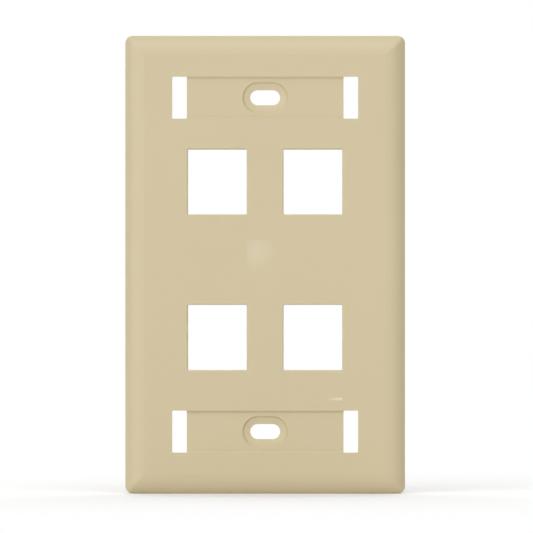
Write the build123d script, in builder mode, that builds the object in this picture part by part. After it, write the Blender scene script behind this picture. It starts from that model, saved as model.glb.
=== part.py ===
"""A single-gang wall faceplate for four snap-in jacks and two label strips.

The plate is one injection moulding: a shallow dish with rolled edges, four jack
receivers that stand out behind it, and two shallow label trays. Each tray has a
screw slot sunk in its middle and, at either end, a slot for a label cover's tab.

X runs across the plate, Z up it and Y into the wall. The wall's surface is y = 0,
and the origin lies on it, midway between the two screw slots.
"""

import os
from math import radians, sin, tan

from build123d import *

# The dish, in millimetres as everything here is
plate_width = 69.85
plate_height = 114.3
plate_depth = 6.35
outline_radius = 1.85
wall = 2.1

# The rolled edge: a crease at the shoulder, a straight land, a roll, then a straight facet
bevel_width = 4.8
land_width = 1.1
facet_width = 1.0
shoulder_angle = 7.0
facet_angle = 42.0
mitre_radius = 1.5
rim_radius = 0.4

# The jack ports, as they are on the front face
port_width = 14.7
port_height = 16.25
port_pitch_x = 23.9
port_pitch_z = 38.85
port_rise = 1.25
corner_radius = 0.3
lip_radius = 0.35

# The receivers behind the ports, with depths counted back from the front face
receiver_depth = 10.0
receiver_wall = 1.5
throat_wall = 1.6
lug_ledge_depth = 6.5
latch_ledge_depth = 4.0
catch_depth = 8.0
lug_pocket = 2.0
latch_pocket = 4.0
latch_overhang = 2.0
catch_lead_in = 0.7

# The label trays, whose edges slope by the same angle as those of the screw seats
step_slope = 40.0
tray_width = 46.4
tray_height = 10.5
tray_recess = 0.55
tray_floor = 1.7
tray_wall = 1.5
tab_slot_width = 3.65

# The screw slots, each sunk in an oblong, slightly dished seat with a boss behind it
screw_spacing = 83.34
screw_slot_length = 7.45
screw_slot_width = 3.75
seat_length = 11.4
seat_width = 7.9
seat_sink = 0.5
seat_floor = 1.6
dish_width = 1.5
dish_depth = 0.27
boss_wall = 1.6
boss_clearance = 0.4

# The stiffening ribs, ejector marks and gate on the back
rib_thickness = 1.2
rib_depth = 5.0
ejector_radius = 2.0
ejector_sink = 0.15
ejector_pitch_z = 60.0
gate_radius = 0.9
gate_height = 0.35

# Worked out from the sizes above
land_drop = land_width * tan(radians(shoulder_angle))
facet_drop = facet_width * tan(radians(facet_angle))
roll_radius = (bevel_width - land_width - facet_width) / (
    sin(radians(facet_angle)) - sin(radians(shoulder_angle))
)
receiver_width = port_width + 2 * receiver_wall
lug_end = port_height / 2 + lug_pocket + receiver_wall
latch_end = -(port_height / 2 + latch_pocket + receiver_wall)
boss_depth = plate_depth - boss_clearance
seat_back_depth = tray_recess + seat_sink + seat_floor
receivers_width = port_pitch_x + receiver_width
ejector_pitch_x = (receivers_width + plate_width - bevel_width) / 2 - wall
across = Plane((0, 0, 0), x_dir=(1, 0, 0), z_dir=(0, 0, -1))
upright = Plane((0, 0, 0), x_dir=(0, 0, 1), z_dir=(1, 0, 0))


def behind_face(depth, rise=0):
    """A plane parallel to the front face, that far behind it, with its normal towards the front."""
    return Plane((0, depth - plate_depth, rise), x_dir=(1, 0, 0), z_dir=(0, -1, 0))


def port_section(x):
    """The plane that cuts the ports down their middles at x: depth behind the face, then height."""
    return Plane((x, -plate_depth, port_rise), x_dir=(0, 1, 0), z_dir=(1, 0, 0))


def dish_section(half_span, back):
    """The dish cut straight across: its span, and how far it stands out from the wall."""
    shoulder = half_span - bevel_width
    with BuildSketch() as section:
        with BuildLine():
            land = Polyline(
                (0, plate_depth),
                (shoulder, plate_depth),
                (shoulder + land_width, plate_depth - land_drop),
            )
            roll = JernArc(land @ 1, land % 1, roll_radius, shoulder_angle - facet_angle)
            rim = (half_span, (roll @ 1).Y - facet_drop)
            Polyline(roll @ 1, rim, (half_span, back), (0, back))
            mirror(about=Plane.YZ)
        make_face()
    return section.sketch


# The hollow of the dish: the same section both ways, one wall's thickness further in
with BuildPart() as hollow:
    with BuildSketch(across):
        add(dish_section(plate_width / 2, -2 * wall))
        offset(amount=-wall, kind=Kind.INTERSECTION)
    extrude(amount=plate_height / 2, both=True)
    with BuildSketch(upright):
        add(dish_section(plate_height / 2, -2 * wall))
        offset(amount=-wall, kind=Kind.INTERSECTION)
    extrude(amount=plate_width / 2, both=True, mode=Mode.INTERSECT)


with BuildPart() as faceplate:
    # The outside of the dish: its width section, trimmed by its height section
    with BuildSketch(across):
        add(dish_section(plate_width / 2, 0))
    extrude(amount=plate_height / 2, both=True)
    with BuildSketch(upright):
        add(dish_section(plate_height / 2, 0))
    extrude(amount=plate_width / 2, both=True, mode=Mode.INTERSECT)

    # Its mitres are softened, its outline rounded, then the rim where the facets meet the sides
    along_x_or_z = faceplate.edges().filter_by(Axis.X) + faceplate.edges().filter_by(Axis.Z)
    mitres = faceplate.edges().filter_by(Axis.Y, reverse=True) - along_x_or_z
    fillet(mitres, mitre_radius)
    with BuildSketch(behind_face(plate_depth)):
        RectangleRounded(plate_width, plate_height, outline_radius)
    extrude(amount=plate_depth, mode=Mode.INTERSECT)
    sides = faceplate.faces().filter_by(Axis.X) + faceplate.faces().filter_by(Axis.Z)
    fillet([side.edges().sort_by(Axis.Y)[0] for side in sides], rim_radius)
    add(hollow.part, mode=Mode.SUBTRACT)

    # The backs of the label trays, and the bosses behind the screw seats
    with BuildSketch(behind_face(0)):
        with GridLocations(0, screw_spacing, 1, 2):
            Rectangle(tray_width + 2 * tray_wall, tray_height + 2 * tray_wall)
    extrude(amount=-(tray_recess + tray_floor))
    with BuildSketch(behind_face(0)):
        with GridLocations(0, screw_spacing, 1, 2):
            SlotOverall(seat_length + 2 * boss_wall, seat_width + 2 * boss_wall)
    extrude(amount=-boss_depth)

    # The receivers, solid to begin with, and the ribs between them
    with BuildSketch(behind_face(0, port_rise + (lug_end + latch_end) / 2)):
        with GridLocations(port_pitch_x, port_pitch_z, 2, 2):
            Rectangle(receiver_width, lug_end - latch_end)
    extrude(amount=-receiver_depth)
    with BuildSketch(behind_face(0)):
        Rectangle(receivers_width, rib_thickness)
        Rectangle(rib_thickness, screw_spacing - tray_height)
    extrude(amount=-rib_depth)

    # Each receiver is opened from the side: windows for the jack's lug and latch, and the mouth
    for column in (-1, 1):
        with BuildSketch(port_section(column * port_pitch_x / 2)):
            with Locations((0, -port_pitch_z / 2), (0, port_pitch_z / 2)):
                Polygon(
                    (lug_ledge_depth, port_height / 2),
                    (lug_ledge_depth, port_height / 2 + throat_wall),
                    (wall, port_height / 2 + throat_wall),
                    (wall, lug_end),
                    (catch_depth, lug_end),
                    (catch_depth, port_height / 2),
                    align=None,
                )
                Polygon(
                    (latch_ledge_depth, -port_height / 2),
                    (latch_ledge_depth, -port_height / 2 - throat_wall),
                    (wall, -port_height / 2 - throat_wall),
                    (wall, latch_end),
                    (catch_depth, latch_end),
                    (catch_depth, -port_height / 2),
                    align=None,
                )
                Polygon(
                    (latch_ledge_depth, port_height / 2),
                    (receiver_depth - catch_lead_in, port_height / 2),
                    (receiver_depth, port_height / 2 + catch_lead_in),
                    (receiver_depth, -port_height / 2 - latch_overhang - catch_lead_in),
                    (receiver_depth - catch_lead_in, -port_height / 2 - latch_overhang),
                    (catch_depth, -port_height / 2 - latch_overhang),
                    (catch_depth, -port_height / 2),
                    (latch_ledge_depth, -port_height / 2),
                    align=None,
                )
        extrude(amount=port_width / 2, both=True, mode=Mode.SUBTRACT)

    # The front openings: ports, label recesses, tab slots, screw seats and screw slots
    with BuildSketch(behind_face(0, port_rise)):
        with GridLocations(port_pitch_x, port_pitch_z, 2, 2):
            RectangleRounded(port_width, port_height, corner_radius)
    extrude(amount=-latch_ledge_depth, mode=Mode.SUBTRACT)
    with BuildSketch(behind_face(0)):
        with GridLocations(0, screw_spacing, 1, 2):
            Rectangle(tray_width - tab_slot_width, tray_height)
    extrude(amount=-tray_recess, taper=step_slope, mode=Mode.SUBTRACT)
    with BuildSketch(behind_face(0)):
        with GridLocations(tray_width - tab_slot_width, screw_spacing, 2, 2):
            RectangleRounded(tab_slot_width, tray_height, corner_radius)
    extrude(amount=-(tray_recess + tray_floor), mode=Mode.SUBTRACT)
    with BuildSketch(behind_face(tray_recess)):
        with GridLocations(0, screw_spacing, 1, 2):
            SlotOverall(seat_length, seat_width)
    extrude(amount=-seat_sink, taper=step_slope, mode=Mode.SUBTRACT)
    with BuildSketch(behind_face(0)):
        with GridLocations(0, screw_spacing, 1, 2):
            SlotOverall(screw_slot_length, screw_slot_width)
    extrude(amount=-boss_depth, mode=Mode.SUBTRACT)
    with BuildSketch(behind_face(boss_depth)):
        with GridLocations(0, screw_spacing, 1, 2):
            SlotOverall(seat_length, seat_width)
    extrude(amount=boss_depth - seat_back_depth, mode=Mode.SUBTRACT)

    # The lips of the ports are slightly rounded, and the seats are dished around the screw slots
    flats = faceplate.faces().filter_by(Axis.Y).group_by(Axis.Y)
    openings = flats[0][0].inner_wires().sort_by(SortBy.LENGTH)
    fillet([edge for wire in openings[:4] for edge in wire.edges()], lip_radius)
    for seat in flats[2]:
        chamfer(seat.inner_wires()[0].edges(), dish_width, dish_depth, reference=seat)

    # Round ejector marks on the back of the face, and the gate's stub where the ribs cross
    with BuildSketch(behind_face(wall)):
        with GridLocations(ejector_pitch_x, ejector_pitch_z, 2, 2):
            Circle(ejector_radius)
    extrude(amount=ejector_sink, mode=Mode.SUBTRACT)
    with BuildSketch(behind_face(rib_depth)):
        Circle(gate_radius)
    extrude(amount=-gate_height)

faceplate.part.label = "faceplate"

os.makedirs("parts", exist_ok=True)
export_step(faceplate.part, "parts/faceplate.step")
print(f"receivers reach {receiver_depth - plate_depth:.2f} mm behind the wall's surface")
print(f"volume {faceplate.part.volume / 1000:.2f} cm3, {len(faceplate.part.solids())} solid")
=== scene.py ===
"""The keystone faceplate, standing upright on a white table under soft daylight."""

from math import radians

import bpy
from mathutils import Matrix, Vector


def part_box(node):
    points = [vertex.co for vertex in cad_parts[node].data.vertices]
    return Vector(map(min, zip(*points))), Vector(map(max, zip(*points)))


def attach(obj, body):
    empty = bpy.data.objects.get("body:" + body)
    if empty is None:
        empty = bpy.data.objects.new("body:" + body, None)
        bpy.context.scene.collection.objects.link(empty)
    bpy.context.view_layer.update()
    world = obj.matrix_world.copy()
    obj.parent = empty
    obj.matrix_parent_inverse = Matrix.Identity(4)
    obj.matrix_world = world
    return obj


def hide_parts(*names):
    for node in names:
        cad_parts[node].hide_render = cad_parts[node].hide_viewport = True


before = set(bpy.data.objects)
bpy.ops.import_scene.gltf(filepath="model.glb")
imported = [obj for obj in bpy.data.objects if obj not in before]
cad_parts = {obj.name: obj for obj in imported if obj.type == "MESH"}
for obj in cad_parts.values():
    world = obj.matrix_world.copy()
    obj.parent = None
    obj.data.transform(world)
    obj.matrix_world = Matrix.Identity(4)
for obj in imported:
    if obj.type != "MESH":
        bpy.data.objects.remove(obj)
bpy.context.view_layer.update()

# Faceplate
# One injection moulding in ivory plastic. It is moulded face down in a polished tool, and
# its face keeps the satin of the tool and a pale oval patch a little left of and above the middle.
low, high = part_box("faceplate")
face_y = low.y
bevel_width = 0.0048
crease_x = high.x - bevel_width
crease_z = high.z - bevel_width
sharp_corner = radians(30)
same_point = 1e-6

bpy.ops.object.select_all(action="DESELECT")
moulding = bpy.data.objects.new("moulding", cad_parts["faceplate"].data.copy())
bpy.context.collection.objects.link(moulding)
moulding.select_set(True)
bpy.context.view_layer.objects.active = moulding
bpy.ops.mesh.customdata_custom_splitnormals_clear()
bpy.ops.object.mode_set(mode="EDIT")
bpy.ops.mesh.select_all(action="SELECT")
bpy.ops.mesh.remove_doubles(threshold=same_point)
bpy.ops.object.mode_set(mode="OBJECT")
bpy.ops.object.shade_smooth_by_angle(angle=sharp_corner)


def on_crease(point):
    """Whether a point lies on the line where the flat face meets the rolled edge."""
    off_line = min(abs(abs(point.x) - crease_x), abs(abs(point.z) - crease_z))
    return abs(point.y - face_y) < same_point and off_line < 2 * same_point


corners = moulding.data.vertices
for edge in moulding.data.edges:
    if all(on_crease(corners[end].co) for end in edge.vertices):
        edge.use_edge_sharp = True
evened = moulding.modifiers.new("even faces", "WEIGHTED_NORMAL")
evened.keep_sharp = True
bpy.ops.object.modifier_apply(modifier="even faces")


class Shade:
    """A socket of a shader, so that shader maths reads as arithmetic."""

    def __init__(self, tree, socket=None):
        self.tree = tree
        self.socket = socket

    def node(self, kind, settings=None, inputs=None, output=0):
        """A new node of a kind, its settings first, and then the values or links of its sockets."""
        made = self.tree.nodes.new(kind)
        for name, value in (settings or {}).items():
            setattr(made, name, value)
        for name, value in (inputs or {}).items():
            if isinstance(value, Shade):
                self.tree.links.new(value.socket, made.inputs[name])
            else:
                made.inputs[name].default_value = value
        return Shade(self.tree, made.outputs[output] if made.outputs else None)

    def along(self, axis):
        """What a vector measures along one axis: 0 is across, 1 into the wall, and 2 up."""
        return self.node("ShaderNodeSeparateXYZ", None, {"Vector": self}, output=axis)

    def mix(self, factor, first, second, blend="MIX"):
        """The first colour with the second blended into it by the factor."""
        return self.node(
            "ShaderNodeMix",
            {"data_type": "RGBA", "blend_type": blend},
            {"Factor": factor, "A": first, "B": second},
            output=2,
        )

    def maths(self, operation, first, second):
        return self.node("ShaderNodeMath", {"operation": operation}, {0: first, 1: second})

    def __abs__(self):
        return self.maths("ABSOLUTE", self, 0)

    def __add__(self, other):
        return self.maths("ADD", self, other)

    def __radd__(self, other):
        return self.maths("ADD", other, self)

    def __sub__(self, other):
        return self.maths("SUBTRACT", self, other)

    def __rsub__(self, other):
        return self.maths("SUBTRACT", other, self)

    def __mul__(self, other):
        return self.maths("MULTIPLY", self, other)

    def __rmul__(self, other):
        return self.maths("MULTIPLY", other, self)

    def share(self, least, most):
        """How far the value has come from the least to the most, eased at both ends."""
        return self.node(
            "ShaderNodeMapRange",
            {"interpolation_type": "SMOOTHSTEP"},
            {"Value": self, "From Min": least, "From Max": most},
        )


def ivory_plastic():
    """Ivory moulding plastic with the fine satin of its tool."""
    ivory = (0.645, 0.549, 0.35, 1)
    pale_ivory = (0.677, 0.597, 0.407, 1)
    streak_ivory = (0.8, 0.73, 0.52, 1)
    material = bpy.data.materials.new("ivory_plastic")
    material.use_nodes = True
    material.node_tree.nodes.clear()
    shade = Shade(material.node_tree)
    place = shade.node("ShaderNodeTexCoord", output=3)
    sideways = place.along(0)
    upwards = place.along(2)
    face_ends = (-0.0062, -0.0058)
    in_front = 1 - place.along(1).share(*face_ends)

    # the pigment isn't quite even, and the tool's satin is finer than a hair
    clouds = shade.node(
        "ShaderNodeTexNoise", None, {"Vector": place, "Scale": 45, "Detail": 3, "Roughness": 0.6}
    )
    satin = shade.node(
        "ShaderNodeTexNoise", None, {"Vector": place, "Scale": 5200, "Detail": 2, "Roughness": 0.5}
    )

    # a pale oval patch is crisp on its left and top, and fades out to its right and below
    blush_middle = (-0.0023, 0, 0.0032)
    blush_spread = (190, 0, 195)
    blush_fades = (0.1, 1.1)
    blush_left = (-0.0049, -0.0041)
    blush_top = (0.0058, 0.0066)
    from_middle = shade.node(
        "ShaderNodeVectorMath", {"operation": "SUBTRACT"}, {0: place, 1: blush_middle}
    )
    over_blush = shade.node(
        "ShaderNodeVectorMath", {"operation": "MULTIPLY"}, {0: from_middle, 1: blush_spread}
    )
    blush_edge = shade.node("ShaderNodeVectorMath", {"operation": "LENGTH"}, {0: over_blush}, output=1)
    blush = 1 - blush_edge.share(*blush_fades)
    blush = blush * sideways.share(*blush_left) * (1 - upwards.share(*blush_top)) * in_front
    blushed = shade.mix(blush, ivory, pale_ivory)

    # a short pale streak low on the right grows paler until it stops dead
    streak_height = -0.0335
    streak_deepens = (0.0146, 0.0192)
    streak_stops = (0.0191, 0.0193)
    streak_edge = (0.0001, 0.0005)
    pale_streak = sideways.share(*streak_deepens) - sideways.share(*streak_stops)
    pale_streak = pale_streak.maths("MAXIMUM", pale_streak, 0) * in_front
    pale_streak = pale_streak * (1 - abs(upwards - streak_height).share(*streak_edge))
    streaked = shade.mix(pale_streak, blushed, streak_ivory)

    pigment = shade.mix(1, streaked, 0.985 + 0.03 * clouds, "MULTIPLY")
    bump = shade.node(
        "ShaderNodeBump", None, {"Strength": 0.06, "Distance": 0.00002, "Height": satin}
    )
    roughness = 0.36 + 0.08 * clouds
    plastic = shade.node(
        "ShaderNodeBsdfPrincipled",
        None,
        {"Base Color": pigment, "Roughness": roughness, "Normal": bump},
    )
    shade.node("ShaderNodeOutputMaterial", None, {"Surface": plastic})
    return material


moulding.data.materials.clear()
moulding.data.materials.append(ivory_plastic())
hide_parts("faceplate")
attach(moulding, "root")

# Table
# A white matt board that the plate stands on. It runs out of sight on every side, and what the
# camera sees of it is a little whiter still, except close by the plate's foot, where the whitening is
# left off and paints shade that deepens the plate's real shadow.
table_reach = 6.0
bpy.ops.mesh.primitive_plane_add(size=table_reach, location=(0, 0, low.z))
table = bpy.context.object
table.name = "table"
board = bpy.data.materials.new("white_board")
board.use_nodes = True
board.node_tree.nodes.clear()
board_shade = Shade(board.node_tree)
on_board = board_shade.node("ShaderNodeTexCoord", output=3)
# painted shadow: within the plate's width and about 5 cm in front of and behind its foot, the board is
# not whitened for the camera, so it shows darker there
foot_side = (0.030, 0.036)
painted_shadow_fades = (0.008, 0.05)
beside_foot = abs(on_board.along(0)).share(*foot_side)
off_foot = abs(on_board.along(1)).share(*painted_shadow_fades)
outside_painted_shadow = 1 - (1 - beside_foot) * (1 - off_foot)
board_seen = board_shade.node("ShaderNodeLightPath")
board_paint = board_shade.node("ShaderNodeBsdfDiffuse", None, {"Color": (0.9, 0.9, 0.9, 1)})
board_glow = board_shade.node("ShaderNodeEmission", None, {"Color": (1, 1, 1, 1), "Strength": 0.12})
whiter_paint = board_shade.node("ShaderNodeAddShader", None, {0: board_paint, 1: board_glow})
board_face = board_shade.node(
    "ShaderNodeMixShader", None, {0: outside_painted_shadow * board_seen, 1: board_paint, 2: whiter_paint}
)
board_shade.node("ShaderNodeOutputMaterial", None, {"Surface": board_face})
table.data.materials.append(board)

# Room
# A white room with three broad soft lights: a window to the left in front, a lamp high in
# front, and a pale wall behind. It is white wherever the camera sees it.
room = bpy.data.worlds.new("white_room")
bpy.context.scene.world = room
room.use_nodes = True
room.node_tree.nodes.clear()
room_shade = Shade(room.node_tree)
outwards = room_shade.node("ShaderNodeTexCoord")
across_room = outwards.along(0)
into_room = outwards.along(1)
up_room = outwards.along(2)

dimmest = 0.02
towards_window = 0.1 * up_room - 0.6 * across_room - 0.794 * into_room
window_light = 1.82 * towards_window.share(0.766, 0.996)
towards_lamp = 0.8 * up_room - 0.6 * into_room
lamp_light = 2.08 * towards_lamp.share(0.7, 0.98)
towards_wall = 0.508 * up_room + 0.861 * into_room
wall_light = 1.45 * towards_wall.share(0.4, 0.95)
brightness = dimmest + window_light + lamp_light + wall_light

room_seen = room_shade.node("ShaderNodeLightPath")
lit_room = room_shade.node(
    "ShaderNodeBackground", None, {"Color": (1, 1, 1, 1), "Strength": brightness}
)
white_room = room_shade.node("ShaderNodeBackground", None, {"Color": (1, 1, 1, 1), "Strength": 1})
either_room = room_shade.node("ShaderNodeMixShader", None, {0: room_seen, 1: lit_room, 2: white_room})
room_shade.node("ShaderNodeOutputWorld", None, {"Surface": either_room})

# Camera
# Level with the middle of the plate, two metres in front of it, with a long lens.
camera_distance = 2.0
view_width = 0.13296
sensor_width = 36.0
plate_left_of_middle = 0.00033
plate_above_middle = 0.00046
lens = bpy.data.cameras.new("camera")
lens.sensor_width = sensor_width
lens.lens = sensor_width * (camera_distance + face_y) / view_width
camera = bpy.data.objects.new("camera", lens)
camera.location = (plate_left_of_middle, -camera_distance, -plate_above_middle)
camera.rotation_euler = (radians(90), 0, 0)
bpy.context.collection.objects.link(camera)
bpy.context.scene.camera = camera
bpy.context.scene.view_settings.view_transform = "Standard"
